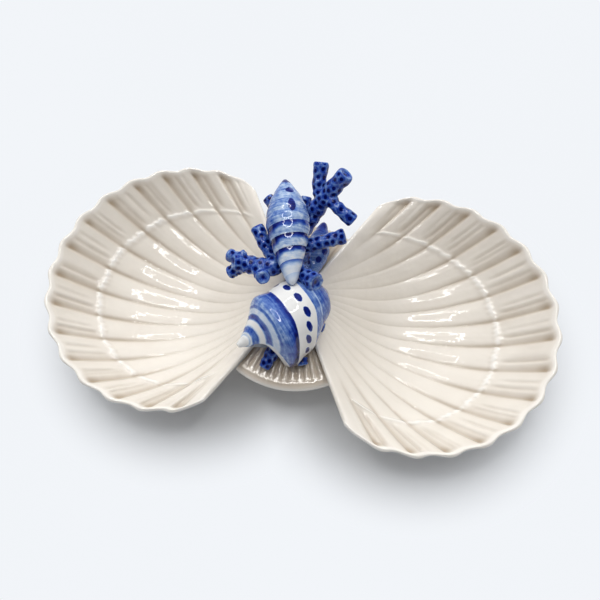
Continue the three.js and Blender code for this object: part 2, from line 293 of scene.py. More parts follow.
# %% Helpers for grids
MM = 0.001


def smooth(value, low, high):
    share = np.clip((value - low) / (high - low), 0, 1)
    return share * share * (3 - 2 * share)


def lerp(first, second, share):
    return first + (second - first) * share


def quads(index):
    return np.stack([index[:-1, :-1], index[1:, :-1], index[1:, 1:], index[:-1, 1:]], -1).reshape(-1, 4)


def capped_tube(rows, columns, start=0):
    """Faces of a closed tube of rings, with one face over each end."""
    index = start + np.arange(rows * columns).reshape(rows, columns)
    sides = quads(np.concatenate([index, index[:, :1]], 1))[:, ::-1]
    return [tuple(face) for face in sides] + [tuple(index[0][::-1]), tuple(index[-1])]


def closed_sheet(top, under):
    """A sheet whose upper and under grids meet along the border, as points, faces and map corners."""
    rows, columns = top.shape[:2]
    upper = np.arange(rows * columns).reshape(rows, columns)
    lower = upper.copy()
    inside = (rows - 2) * (columns - 2)
    lower[1:-1, 1:-1] = rows * columns + np.arange(inside).reshape(rows - 2, columns - 2)
    points = np.concatenate([top.reshape(-1, 3), under[1:-1, 1:-1].reshape(-1, 3)])
    faces = np.concatenate([quads(upper), quads(lower)[:, ::-1]])
    v, u = np.meshgrid(np.linspace(0.505, 0.995, rows), np.linspace(0.005, 0.995, columns), indexing="ij")
    grid = np.stack([u, v], -1).reshape(-1, 2)
    upper_map = grid[quads(upper)]
    lower_map = (grid - (0, 0.5))[quads(upper)][:, ::-1]
    return points, faces, np.concatenate([upper_map, lower_map])


def on_sheet(values):
    """Values of the upper grid, repeated for the under side's inner points."""
    return np.concatenate([values.reshape(-1), values[1:-1, 1:-1].reshape(-1)])


def piece(name, points, faces, node, material, values, corners=None):
    made = new_object(name, (np.asarray(points) * MM).tolist(), [tuple(face) for face in faces])
    mesh = made.data
    mesh.polygons.foreach_set("use_smooth", np.ones(len(mesh.polygons), bool))
    for title, numbers in values.items():
        attribute = mesh.attributes.new(title, "FLOAT", "POINT")
        attribute.data.foreach_set("value", np.asarray(numbers, np.float32))
    if corners is not None:
        mesh.uv_layers.new(name="OFBake").data.foreach_set("uv", np.asarray(corners, np.float32).ravel())
    mesh.materials.append(material)
    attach(made, "root")
    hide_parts(node)
    print(name, len(mesh.vertices), "points", len(mesh.polygons), "faces")


# %% [markdown]
# ## Cream glaze
# Clear-coated cream earthenware looks alive because the glaze isn't even. It runs off ridges and
# edges, where it is thin and pale, and pools in grooves, where it is thick and warm. The group below
# turns two mesh values into that shift of colour, with a faint cloud over all of it. The warm colour
# also carries painted shade (valley heads under the lip, the outer zone, the hinge plate), and the
# pale colour also carries a painted highlight along the growth line and the lip.

# %% Glaze groups
pooling_and_shade, given, result = node_group(
    "glaze pooling",
    {"Color": "Color", "Pooled": "Color", "Thin Color": "Color",
     "Pool": "Float", "Thin": "Float", "Cloud": "Float"},
    {"Color": "Color"},
)
cloud = noise(pooling_and_shade, place(pooling_and_shade), 38.0, 3.0)
clouded = times(pooling_and_shade, minus(pooling_and_shade, cloud, 0.5), given["Cloud"])
pool_and_shade_share = plus(pooling_and_shade, given["Pool"], clouded)
# Pooled glaze and painted shade both darken towards the warm colour.
pooled_and_shaded = blend(pooling_and_shade, step(pooling_and_shade, pool_and_shade_share, -0.15, 1.0), given["Color"], given["Pooled"])
# Thin glaze and a painted highlight both lighten towards the pale colour.
thin_and_highlight_color = blend(pooling_and_shade, step(pooling_and_shade, given["Thin"], 0.1, 1.0), pooled_and_shaded, given["Thin Color"])
pooling_and_shade.links.new(thin_and_highlight_color, result["Color"])

ripple, given, result = node_group(
    "glaze ripple", {"Strength": "Float", "Scale": "Float"}, {"Height": "Float"})
wave = noise(ripple, place(ripple), given["Scale"], 2.0, 0.45)
speck = noise(ripple, place(ripple), 900.0, 1.0)
surface = plus(ripple, wave, times(ripple, speck, 0.05))
ripple.links.new(times(ripple, surface, given["Strength"]), result["Height"])
print("glaze groups:", pooling_and_shade.name, "and", ripple.name)


def gloss(name, roughness):
    material = bpy.data.materials.new(name)
    material.use_nodes = True
    shader = material.node_tree.nodes["Principled BSDF"]
    shader.inputs["Roughness"].default_value = roughness
    shader.inputs["IOR"].default_value = 1.52
    return material, material.node_tree, shader


def bump(tree, shader, height, distance):
    node = tree.nodes.new("ShaderNodeBump")
    node.inputs["Distance"].default_value = distance
    tree.links.new(height, node.inputs["Height"])
    tree.links.new(node.outputs["Normal"], shader.inputs["Normal"])


# %% Cream glaze material
cream, tree, shader = gloss("cream_glaze", 0.08)
# Warm dark colour for pooled glaze and painted shade, pale colour for thin glaze and painted highlight.
color = use_group(
    tree, pooling_and_shade,
    **{"Color": srgb(237, 231, 222), "Pooled": srgb(176, 159, 138), "Thin Color": srgb(249, 246, 241)},
    Pool=mesh_value(tree, "pool_and_shade"), Thin=mesh_value(tree, "thin_and_highlight"), Cloud=0.35,
)["Color"]
tree.links.new(color, shader.inputs["Base Color"])
bump(tree, shader, use_group(tree, ripple, Strength=1.0, Scale=90.0)["Height"], 0.0006)
print("cream glaze nodes:", len(tree.nodes))

# %% [markdown]
# ## Scallop bowls
# Each bowl is a fan of ribs that spreads from the hinge. The grid follows the fan: columns are rays,
# rows are shares of the way from hinge to rim. Its depth is the product of one round wall and two
# straight walls, as in the solid. On top of that come the finer things: crisp lines in the
# grooves, a steep valley with two lesser ones beside it outside the growth line, the beaded growth
# line itself, and a rolled lip. Sculpting could do this too, but formulas keep the sixteen ribs in step.

# %% Sizes of the bowls in millimetres
rim_height, bowl_depth, rim_radius, rim_centre = 55.0, 48.0, 89.0, 79.7
wall, rim_thickness = 4.6, 3.4
fan = math.radians(60.7)
hinge_radius = 14.0
corner_angle, corner_cut = math.radians(7), 6.0
ribs = 16
rib_pitch = 2 * fan / ribs
groove_depth, edge_ripple = 1.9, 2.6
line_depth, valley_depth = (0.4, 0.9), (0.9, 3.0)
second_depth, third_depth, groove_extra = 2.0, 1.3, 0.6
rope_height, lip_roll, drawn_height = 1.9, 0.45, 0.05
line_dip, line_dip_width = 1.2, 9.0


def rolled(value, softness):
    return (np.hypot(np.maximum(value, 0), softness) - softness) / (math.hypot(1, softness) - softness)


def into_corner(angle):
    return np.maximum(0, np.abs(angle) - fan + corner_angle) / corner_angle


def rim_reach(angle):
    reach = rim_centre * np.cos(angle) + np.sqrt(rim_radius ** 2 - (rim_centre * np.sin(angle)) ** 2)
    return reach - corner_cut * into_corner(angle) ** 2


def depth_at(x, y):
    depth = bowl_depth * rolled(1 - (np.hypot(x - rim_centre, y) / rim_radius) ** 2.3, 0.07)
    for side in (1, -1):
        inside = (x * math.sin(fan) - side * y * math.cos(fan)) / (rim_centre * math.sin(fan))
        depth = depth * rolled(1 - (1 - np.clip(inside, 0, 1)) ** 3, 0.12)
    return depth


def growth_reach(angle, centre, radius):
    return centre * np.cos(angle) + np.sqrt(radius ** 2 - (centre * np.sin(angle)) ** 2)


def slope_at(x, y):
    nudge = 0.5
    along_x = depth_at(x + nudge, y) - depth_at(x - nudge, y)
    along_y = depth_at(x, y + nudge) - depth_at(x, y - nudge)
    return np.hypot(along_x, along_y) / (2 * nudge)


print("reach of the middle rib in mm:", float(rim_reach(np.array(0.0))))

# %% [markdown]
# The growth line is an arc, so it crosses each ray at another share. Rows are therefore counted in
# two parts: from 0 to 1 between the hinge and the growth line, and from 1 to 2 between that line and
# the rim. A row of points then runs exactly along the line, and more rows can be packed beside it.

# %% Rays and rows of the fan
columns_per_rib = 24
edge_columns = np.radians([0.1, 0.2, 0.32, 0.48, 0.65, 0.85, 1.1, 1.4, 1.8, 2.2])
even_rays = np.linspace(-fan, fan, ribs * columns_per_rib + 1)
fan_rays = np.concatenate([even_rays, fan - edge_columns, edge_columns - fan])
fan_rays = np.unique(np.round(fan_rays, 7))
rim_rows = 2 - np.array([0, 0.002, 0.006, 0.012, 0.019, 0.028, 0.039, 0.05, 0.063, 0.078, 0.095])
fan_rows = np.concatenate([[0, 0.004, 0.008, 0.013, 0.02], np.linspace(0.03, 0.95, 54),
                           np.linspace(0.955, 1.14, 26), np.linspace(1.17, 1.88, 22), rim_rows])
fan_rows = np.unique(np.round(fan_rows, 6))
print("fan grid:", len(fan_rays), "rays by", len(fan_rows), "rows")


# %% Lines along the ribs
def beside_groove(offset, where, reach):
    """Millimetres across the rays from a line that lies a share of a rib beside each groove."""
    gap = offset - where
    return (gap - np.round(gap)) * rib_pitch * reach


def hump(gap, width):
    return np.exp(-((gap / width) ** 2))


def round_edge(gap, thickness):
    return np.sqrt(1 - (1 - np.clip(gap / (thickness / 2), 0, 1)) ** 2)


# %% One bowl
def scallop_bowl(name, node, rib_shift, back, growth, turned):
    angle, row = np.meshgrid(fan_rays, fan_rows)
    span = rim_reach(angle) - hinge_radius
    line = (growth_reach(angle, *growth) - hinge_radius) / span
    share = np.where(row < 1, row * line, lerp(line, 1, row - 1))
    out = np.clip(row - 1, 0, 1)
    offset = angle / rib_pitch + rib_shift
    lobe = edge_ripple / 2 * np.cos(2 * np.pi * offset) * (1 - into_corner(angle))
    reach = lerp(hinge_radius, rim_reach(angle), share) + lobe * share ** 4
    x, y = reach * np.cos(angle), reach * np.sin(angle)
    to_edge = reach * np.sin(fan - np.abs(angle))
    to_rim, to_hinge, past = (1 - share) * span, share * span, (share - line) * span

    fluted = smooth(to_edge, 5, 12) * smooth(to_rim, 2.8, 5.6)
    outer = smooth(past, 0.5, 5) * fluted
    groove = (1 - np.abs(np.sin(np.pi * offset)) ** 0.8) * share * fluted
    aside = beside_groove(offset, 0, reach) * back
    by_line = smooth(row, 0.45, 1)
    crisp = hump(aside, lerp(0.7, 1.5, by_line)) * share * fluted * (1 - outer)
    valley = np.where(aside < 0, hump(aside, 1.4), hump(aside, 3.6)) * outer
    rib = np.floor(offset)
    uneven = 0.75 + 0.25 * np.sin(7.3 * rib + 2)
    second = hump(beside_groove(offset, (0.29 + 0.05 * np.sin(5 * rib)) * back, reach), 1.3)
    second = second * outer * smooth(out, 0, 0.3) * uneven
    third = hump(beside_groove(offset, (0.5 + 0.07 * np.sin(3 * rib + 1)) * back, reach), 1.1)
    third = third * outer * smooth(out, 0.1, 0.45) * (1.5 - uneven)
    drawn = np.sin(2 * np.pi * (2.3 * offset + 0.5 * np.sin(4 * share + offset)))
    drawn = drawn + 0.8 * np.sin(2 * np.pi * (3.7 * offset + 1.4 * share + np.sin(1.7 * offset)))
    drawn = drawn * share * fluted
    arc = angle * growth_reach(angle, *growth)
    bead = np.abs(np.sin(np.pi * (arc / 7.5 + 0.35 * np.sin(arc / 9.0 + rib_shift)))) ** 0.6
    twist = 0.5 * np.sin(2 * np.pi * arc / 3.6) + 0.5 * np.sin(arc / 5.3)
    joints = 1 - 0.6 * hump(aside, 1.0)
    rope = hump(past - 0.7 * twist, 1.8) * smooth(to_edge, 6, 16) * joints
    side_roll = hump(to_edge - 3.2, 2.6) * smooth(to_rim, 0, 6) * smooth(to_hinge, 0, 12)
    roll = hump(to_rim - 2.2, 1.5) + side_roll

    base = rim_height - depth_at(x, y) - groove_depth * groove * (1 - 0.3 * outer)
    thickness = lerp(wall * np.hypot(1, slope_at(x, y)), rim_thickness, smooth(share, 0.88, 1))
    edge = round_edge(to_rim, thickness) * round_edge(to_edge, thickness) * round_edge(to_hinge, thickness)
    tuck = thickness / 2 * (1 - edge)
    relief = rope_height * rope * (0.5 + 0.5 * bead) - lerp(*line_depth, by_line) * crisp
    relief = relief - lerp(*valley_depth, out) * valley
    relief = relief - second_depth * second - third_depth * third + lip_roll * roll + drawn_height * drawn
    relief = relief - groove_extra * groove * (1 - outer)
    relief = relief - line_dip * np.exp(-np.abs(past) / line_dip_width) * smooth(to_edge, 4, 20)
    top = np.stack([x, y, base + relief * edge - tuck], -1)
    under = np.stack([x, y, base - thickness + tuck], -1)
    turn = np.array([-1, -1, 1]) if turned else np.ones(3)
    points, faces, corners = closed_sheet(top * turn, under * turn)

    # Glaze pooled in grooves and valleys, plus painted shade: valley heads darker under the lip, the outer
    # zone a little darker all round, and the valley lines deepened.
    painted_shade_under_lip = 1 - smooth(to_rim, 4, 11)
    pool_and_shade = 0.35 * groove ** 1.5 + lerp(0.3, 0.5, by_line) * crisp + lerp(0.22, 0.6, painted_shade_under_lip) * valley
    pool_and_shade = np.clip(pool_and_shade + 0.3 * second + 0.22 * third + 0.06 * outer, 0, 1)
    # Pale where the glaze runs thin on the beaded growth line and the lip, and lighter still as a painted
    # highlight.
    thin_and_highlight = np.clip(0.9 * rope * (0.4 + 0.6 * bead) + 0.5 * (1 - smooth(to_rim, 3.0, 4.6)), 0, 1)
    ring_points, ring_faces, ring_corners = foot_ring(turned)
    values = {
        "pool_and_shade": np.concatenate([on_sheet(pool_and_shade), np.zeros(len(ring_points))]),
        "thin_and_highlight": np.concatenate([on_sheet(thin_and_highlight), np.zeros(len(ring_points))]),
    }
    points = np.concatenate([points, ring_points])
    faces = np.concatenate([faces, ring_faces + len(points) - len(ring_points)])
    corners = np.concatenate([corners * (1, 0.96), ring_corners])
    piece(name, points, faces, node, cream, values, corners)


# %% Foot ring under each bowl
foot_radius, foot_width, foot_sides = 31.0, 5.0, 128


def foot_ring(turned):
    ring_top = rim_height - float(depth_at(rim_centre + foot_radius, 0.0)) - wall + 2
    half = foot_width / 2
    around = np.linspace(0, 2 * np.pi, 17)[:-1]
    profile = [(half * math.copysign(abs(math.cos(t)) ** 0.4, math.cos(t)),
                ring_top / 2 * (1 + math.copysign(abs(math.sin(t)) ** 0.25, math.sin(t)))) for t in around]
    turns = np.linspace(0, 2 * np.pi, foot_sides + 1)[:-1]
    centre = -rim_centre if turned else rim_centre
    points = [(centre + (foot_radius + r) * math.cos(t), (foot_radius + r) * math.sin(t), z)
              for t in turns for r, z in profile]
    index = np.arange(len(points)).reshape(foot_sides, len(profile))
    index = np.concatenate([index, index[:1]])
    index = np.concatenate([index, index[:, :1]], 1)
    v, u = np.meshgrid(np.linspace(0, 1, len(profile) + 1), np.linspace(0.005, 0.995, foot_sides + 1))
    grid = np.stack([u, 0.962 + 0.036 * v], -1)
    faces = quads(index)
    whole = np.arange(grid.shape[0] * grid.shape[1]).reshape(grid.shape[:2])
    return np.array(points), faces, grid.reshape(-1, 2)[quads(whole)]


scallop_bowl("right_bowl", "right_shell", 0.0, 1, (71.5, 65.0), False)
scallop_bowl("left_bowl", "left_shell", -0.34, -1, (74.5, 66.5), True)

# %% [markdown]
# ## Hinge plate
# Between the bowls shows a round plate with fine ribs, like the hinge of a real scallop. Only its
# front and back sectors and a small hub come out from under the bowls. A boolean cut would leave
# ragged triangles along the bowls, so the plate is drawn as a star: wide where a notch
# opens, and narrow where a bowl lies over it.

# %% Ribbed plate
plate_radius, plate_top, plate_drop, plate_thickness = 60.0, 51.5, 5.0, 6.0
plate_ribs, plate_rib_height, plate_lip = 72, 1.3, 5.0
hub_radius = 15.2
tuck_angle = math.radians(1.0)


def plate_rays():
    rays, reach = [], []
    for middle in (0.5 * np.pi, 1.5 * np.pi):
        half = np.pi / 2 - fan + tuck_angle
        notch = np.linspace(middle - half, middle + half, 145)
        cover = np.linspace(middle + half, middle + np.pi - half, 25)[1:-1]
        rays += [notch, cover]
        reach += [np.full(len(notch), plate_radius), np.full(len(cover), hub_radius)]
    return np.concatenate(rays), np.concatenate(reach)


def hinge_plate():
    angle, reach = plate_rays()
    shares = np.unique(np.concatenate([np.linspace(0.03, 1, 44), 1 - np.array([0.001, 0.004, 0.009, 0.016])]))
    radius = shares[:, None] * reach[None, :]
    angle = np.broadcast_to(angle, radius.shape)
    rib_end = plate_radius - plate_lip
    ribbed = smooth(radius, hinge_radius, 2 * hinge_radius) * (1 - smooth(radius, rib_end - 4, rib_end))
    groove = (1 - np.abs(np.sin(plate_ribs * angle / 2)) ** 0.8) * ribbed
    top = plate_top - plate_drop * (radius / plate_radius) ** 2 - plate_rib_height * groove
    under = plate_top - plate_drop - plate_thickness + 0.6 * (radius / plate_radius) ** 2
    middle = (top + under) / 2
    edge = round_edge(reach[None, :] - radius, 4.6)
    flat = np.stack([radius * np.cos(angle), radius * np.sin(angle)], -1)
    upper = np.concatenate([flat, (middle + (top - middle) * edge)[..., None]], -1)
    lower = np.concatenate([flat, (middle + (under - middle) * edge)[..., None]], -1)
    skin = np.concatenate([upper, lower[::-1][1:]])
    faces = [face[::-1] for face in capped_tube(*skin.shape[:2])]
    pool_and_shade = np.concatenate([groove, groove[::-1][1:] * 0]).reshape(-1)
    lip = smooth(radius, plate_radius - 2.5, plate_radius)
    thin_and_highlight = np.concatenate([lip, lip[::-1][1:] * 0]).reshape(-1)
    # An even 0.55 over the plate is painted shade from the bowls and the handle above. The groove share is
    # pooled glaze, and the lip is paler where the glaze thins, with a painted highlight.
    values = {"pool_and_shade": np.clip(0.55 + 0.2 * pool_and_shade - 0.55 * thin_and_highlight, 0, 1), "thin_and_highlight": 0.4 * thin_and_highlight}
    piece("hinge_plate", skin.reshape(-1, 3), faces, "hinge_fan", cream, values)


hinge_plate()

# %% [markdown]
# ## Brushed cobalt
# The handle is painted with cobalt under the clear glaze, the way blue and white ware is: the brush
# leaves thin washes where the white body shines through and dark edges where the colour dries last.
# One group mixes white, wash and full cobalt by how much colour lies there, and streaks it along the
# brush. A second one draws a dot at a given place on a shell.

# %% Brush groups
cobalt_wash, given, result = node_group(
    "cobalt wash",
    {"Amount": "Float", "Streaks": "Float", "Along": "Float", "Turn": "Float"},
    {"Color": "Color"},
)
stroke = cobalt_wash.nodes.new("ShaderNodeCombineXYZ")
cobalt_wash.links.new(times(cobalt_wash, given["Along"], 60.0), stroke.inputs["X"])
cobalt_wash.links.new(times(cobalt_wash, given["Turn"], 9.0), stroke.inputs["Y"])
streak = noise(cobalt_wash, stroke.outputs[0], 1.0, 3.0, 0.6)
blot = noise(cobalt_wash, place(cobalt_wash), 260.0, 3.0, 0.6)
uneven = minus(cobalt_wash, plus(cobalt_wash, streak, blot), 1.0)
amount = plus(cobalt_wash, given["Amount"], times(cobalt_wash, uneven, given["Streaks"]))
shades = cobalt_wash.nodes.new("ShaderNodeValToRGB")
stops = [
    (0.0, srgb(227, 227, 226)), (0.1, srgb(206, 215, 228)), (0.2, srgb(170, 191, 220)),
    (0.4, srgb(92, 124, 186)), (0.6, srgb(36, 68, 156)), (0.8, srgb(13, 32, 120)), (1.0, srgb(2, 9, 74)),
]
while len(shades.color_ramp.elements) < len(stops):
    shades.color_ramp.elements.new(0.5)
for element, (position, shade) in zip(shades.color_ramp.elements, stops):
    element.position = position
    element.color = shade
cobalt_wash.links.new(times(cobalt_wash, amount, 0.8), shades.inputs["Fac"])
cobalt_wash.links.new(shades.outputs["Color"], result["Color"])

brush_dot, given, result = node_group(
    "brush dot",
    {"Along": "Float", "Turn": "Float", "At Along": "Float", "At Turn": "Float",
     "Length": "Float", "Width": "Float"},
    {"Dot": "Float"},
)
aside = calc(brush_dot, "DIVIDE", minus(brush_dot, given["Along"], given["At Along"]), given["Length"])
round_it = calc(brush_dot, "DIVIDE", minus(brush_dot, given["Turn"], given["At Turn"]), given["Width"])
away = calc(brush_dot, "SQRT", plus(brush_dot, times(brush_dot, aside, aside),
                                    times(brush_dot, round_it, round_it)))
shaky = times(brush_dot, minus(brush_dot, noise(brush_dot, place(brush_dot), 700.0), 0.5), 0.35)
inside = step(brush_dot, plus(brush_dot, away, shaky), 1.12, 0.88)
brush_dot.links.new(inside, result["Dot"])
print("shades of cobalt:", len(stops))


shell_ripples, coral_ripples = (1.0, 160.0, 0.0002), (0.8, 420.0, 0.0004)


def paint_over(tree, shader, ripples, **wash):
    """Cobalt under the glaze, whose ripples have a strength, a scale and a height."""
    strength, scale, height = ripples
    tree.links.new(use_group(tree, cobalt_wash, **wash)["Color"], shader.inputs["Base Color"])
    bump(tree, shader, use_group(tree, ripple, Strength=strength, Scale=scale)["Height"], height)


def dots(tree, along, turn, places):
    mask = None
    for at_along, at_turn, length, width in places:
        dot = use_group(tree, brush_dot, Along=along, Turn=turn, Length=length, Width=width,
                        **{"At Along": at_along, "At Turn": at_turn})["Dot"]
        mask = dot if mask is None else larger(tree, mask, dot)
    return mask


# %% [markdown]
# ## Sea shells
# A snail shell is an outline swept round an axis, with shallow rings where one whorl laps the next.
# The whelk also has a lip: its last whorl grows outwards over one turn and ends in a free edge that
# stands over the mouth. A Screw modifier makes a plain spiral, but not that growing lip, so the
# points are worked out on a grid of shares along the axis and turns round it.

# %% Shell skins
def spline(points, count):
    """Points along a smooth curve through the outline, evenly spread over its spans."""
    points = np.array(points, float)
    spans = len(points) - 1
    place = np.linspace(0, spans, count)
    k = np.minimum(place.astype(int), spans - 1)
    t = (place - k)[:, None]
    p0, p1 = points[np.maximum(k - 1, 0)], points[k]
    p2, p3 = points[k + 1], points[np.minimum(k + 2, spans)]
    v0, v1 = (p2 - p0) / 2, (p3 - p1) / 2
    cubic = (2 * p1 - 2 * p2 + v0 + v1) * t ** 3
    return cubic + (3 * p2 - 3 * p1 - 2 * v0 - v1) * t ** 2 + v0 * t + p1


def laid(points, tip, end, facing):
    """Turns a shell drawn about +Z so that it runs from tip to end, with its lip towards a point."""
    tip, end, facing = (np.array(p, float) for p in (tip, end, facing))
    axis = (end - tip) / np.linalg.norm(end - tip)
    side = facing - tip
    side = side - axis * side.dot(axis)
    side = side / np.linalg.norm(side)
    across = np.cross(axis, side)
    return points @ np.stack([side, across, axis]) + tip + (0, 0, plate_top)


def shell_piece(name, node, material, grid, along, turn, laying):
    points = laid(grid.reshape(-1, 3), *laying)
    faces = capped_tube(*grid.shape[:2])
    values = {"along": along.reshape(-1), "turn": turn.reshape(-1)}
    piece(name, points, faces, node, material, values)


# %% Plain spindle-shaped shells
whorl_start = 0.113


def plain_shell(name, node, material, length, outline, pitch, lap, laying):
    sides = 120
    profile = spline([(share * length, radius) for share, radius in outline], 240)
    turn, along = np.meshgrid(np.linspace(0, 1, sides + 1)[:-1], np.clip(profile[:, 0] / length, 0, 1))
    radius = np.maximum(profile[:, 1], 0.3)[:, None]
    whorl = ((along - whorl_start) / pitch - turn) % 1
    reach = radius * (1 - lap * (2 * whorl - 1) ** 2)
    angle = 2 * np.pi * turn
    height = np.broadcast_to(profile[:, :1], angle.shape)
    grid = np.stack([reach * np.cos(angle), reach * np.sin(angle), height], -1)
    shell_piece(name, node, material, grid, along, turn, laying)


# %% Whelk with its lip and mouth
lip_growth, lip_edge, inside_turn = 0.7, 1.7, 1.2


def whelk(name, node, material, length, outline, laying):
    sides = 150
    profile = spline([(share * length, radius) for share, radius in outline], 240)
    share = np.clip(profile[:, 0] / length, 0, 1)
    radius = np.maximum(profile[:, 1], 0.3)
    body = smooth(share, 0.195, 0.31) * (1 - smooth(share, 0.455, 0.845))

    def reach_at(turn, k):
        ring = share[k] + 0.05 * (1 - np.cos(2 * np.pi * (turn - 0.64)))
        sunk = hump(ring - 0.105, 0.012) + hump(ring - 0.16, 0.026)
        sunk = sunk + hump(ring - 0.25, 0.018) + 0.6 * hump(ring - 0.312, 0.011)
        flare = 1 + lip_growth * body[k] * turn ** 3
        mouth = 1 - 0.35 * body[k] * np.exp(-((turn / 0.16) ** 2))
        under_arch = 0.245 + 0.65 * (turn - 0.86) - share[k]
        arch = smooth(turn, 0.78, 0.86) * smooth(share[k], 0.08, 0.165) * smooth(under_arch, 0, 0.03)
        grown = radius[k] * (1 - 0.025 * body[k]) * flare * mouth * (1 - 0.4 * arch)
        return grown - 0.4 * sunk * (1 - body[k])

    turns = np.linspace(0, 1, sides)
    last = 0.995
    rings, alongs, around = [], [], []
    for k in range(len(share)):
        angle = 2 * np.pi * np.minimum(turns, last)
        reach = reach_at(turns, k)
        depth, edge = 1.0 * body[k], min(lip_edge, 0.45 * radius[k]) * body[k]
        round_turn = np.linspace(0, np.pi, 7)[1:-1]
        lip_angle = angle[-1] + np.sin(round_turn) * edge / 2 / max(reach[-1], 1)
        lip_reach = reach[-1] - edge / 2 * (1 - np.cos(round_turn))
        inward = np.linspace(0, 1, 8)
        wall_angle = angle[-1] - depth * inward
        wall_reach = reach_at(np.minimum(wall_angle / (2 * np.pi) / last, 1), k) - edge
        floor_reach = reach[0] * (1 - 0.12 * body[k])
        wall_reach = np.maximum(wall_reach, floor_reach)
        wall_reach = lerp(wall_reach, floor_reach, smooth(inward, 0.6, 1.0))
        back_angle = np.linspace(wall_angle[-1], 2 * np.pi, 8)[1:-1]
        angle = np.concatenate([angle, lip_angle, wall_angle, back_angle])
        reach = np.concatenate([reach, lip_reach, wall_reach, np.full(len(back_angle), floor_reach)])
        height = np.full(len(angle), profile[k, 0])
        rings.append(np.stack([reach * np.cos(angle), reach * np.sin(angle), height], -1))
        alongs.append(np.full(len(angle), share[k]))
        inner = np.full(len(wall_angle) + len(back_angle), inside_turn)
        around.append(np.concatenate([turns, np.ones(len(round_turn)), inner]))
    shell_piece(name, node, material, np.array(rings), np.array(alongs), np.array(around), laying)


# %% [markdown]
# The whelk's paint follows its own coordinates. Near the tip blue and white rings take turns, the
# body carries a wash that ends in one dark curved edge and is darker on its lower side as painted
# shade, then a white band with a row of dots, and a light-blue wash with a fine seam covers the far
# end. The mouth inside the lip stays bare.

# %% Whelk paint
whelk_glaze, tree, shader = gloss("whelk_glaze", 0.06)
along, turn = mesh_value(tree, "along"), mesh_value(tree, "turn")


def ring_mask(tree, value, centre, half, soft):
    gap = calc(tree, "ABSOLUTE", minus(tree, value, centre))
    return step(tree, gap, half + soft, half - soft)


sway = calc(tree, "COSINE", times(tree, minus(tree, turn, 0.64), 2 * math.pi))
ring_place = plus(tree, along, times(tree, minus(tree, 1.0, sway), 0.05))
amount = times(tree, ring_mask(tree, ring_place, 0.155, 0.027, 0.012), 0.62)
fine_rings = ((0.108, 0.006, 0.25), (0.25, 0.018, 0.78), (0.314, 0.012, 0.66), (0.288, 0.02, 0.16))
for centre, half, strength in fine_rings:
    amount = larger(tree, amount, times(tree, ring_mask(tree, ring_place, centre, half, 0.01), strength))
edge_line = minus(tree, 0.495, times(tree, step(tree, turn, 0.68, 0.92), 0.12))
to_line = minus(tree, edge_line, along)
within = times(tree, step(tree, ring_place, 0.3, 0.325), step(tree, to_line, -0.004, 0.004))
edge_dark = times(tree, step(tree, to_line, 0.07, 0.015), 0.32)
lower_dark = times(tree, times(tree, step(tree, turn, 0.66, 0.8), step(tree, to_line, 0.06, 0.02)), 0.25)
middle_wash = plus(tree, times(tree, step(tree, ring_place, 0.32, 0.44), 0.22), 0.4)
# The lower side of the body is painted darker: painted shade.
painted_underside_shade = times(tree, step(tree, turn, 0.66, 0.82), 0.12)
body_wash_and_shade = plus(tree, plus(tree, edge_dark, lower_dark), plus(tree, middle_wash, painted_underside_shade))
amount = larger(tree, amount, times(tree, within, body_wash_and_shade))
print("rings of the spire:", 1 + len(fine_rings))

# %% Dots, far end and bare lip of the whelk
band_line = minus(tree, 0.735, times(tree, step(tree, turn, 0.69, 0.9), 0.13))
seam_line = minus(tree, 0.81, times(tree, step(tree, turn, 0.69, 0.9), 0.1))
far_end = step(tree, minus(tree, along, band_line), -0.005, 0.005)
seam = times(tree, ring_mask(tree, minus(tree, along, seam_line), 0.0, 0.007, 0.004), 0.25)
behind_seam = times(tree, step(tree, minus(tree, along, seam_line), 0.0, 0.05), 0.08)
far_wash = plus(tree, minus(tree, 0.54, seam), behind_seam)
amount = larger(tree, amount, times(tree, far_end, far_wash))
spots = dots(tree, along, turn, [
    (0.645, 0.616, 0.033, 0.024), (0.642, 0.694, 0.031, 0.025), (0.597, 0.753, 0.027, 0.024),
    (0.547, 0.806, 0.026, 0.023), (0.51, 0.865, 0.024, 0.021), (0.625, 0.535, 0.03, 0.024),
    (0.59, 0.45, 0.03, 0.024),
])
amount = larger(tree, amount, times(tree, spots, 1.08))
arch_line = plus(tree, 0.245, times(tree, minus(tree, turn, 0.86), 0.65))
above_arch = minus(tree, along, arch_line)
arch_rim = times(tree, ring_mask(tree, above_arch, 0.006, 0.028, 0.006), step(tree, turn, 0.76, 0.82))
bare = times(tree, times(tree, amount, step(tree, turn, 1.0, 0.985)), minus(tree, 1.0, arch_rim))
streaks = times(tree, step(tree, bare, 0.05, 0.3), 0.7)
paint_over(tree, shader, shell_ripples, Amount=bare, Streaks=streaks, Along=along, Turn=turn)
whelk(
    "whelk", "whelk_shell", whelk_glaze, 65.6,
    [(0, 1.4), (0.03, 2.4), (0.06, 3.5), (0.127, 6.6), (0.224, 11.6), (0.35, 19.1), (0.496, 18.2),
     (0.631, 19.3), (0.787, 16.9), (0.922, 12), (1, 3.1)],
    ((-26.5, -45.6, 23.7), (19.5, 0.8, 17.5), (0.4, -44.6, -2)),
)

# %% [markdown]
# The spindle is painted one whorl at a time: the brush starts dark at the crease above and runs out
# of colour downwards, so every whorl shades from deep blue to nearly white. A saw-tooth of the
# whorl's own coordinate gives that fade, and the same coordinate puts the crease in the mesh.

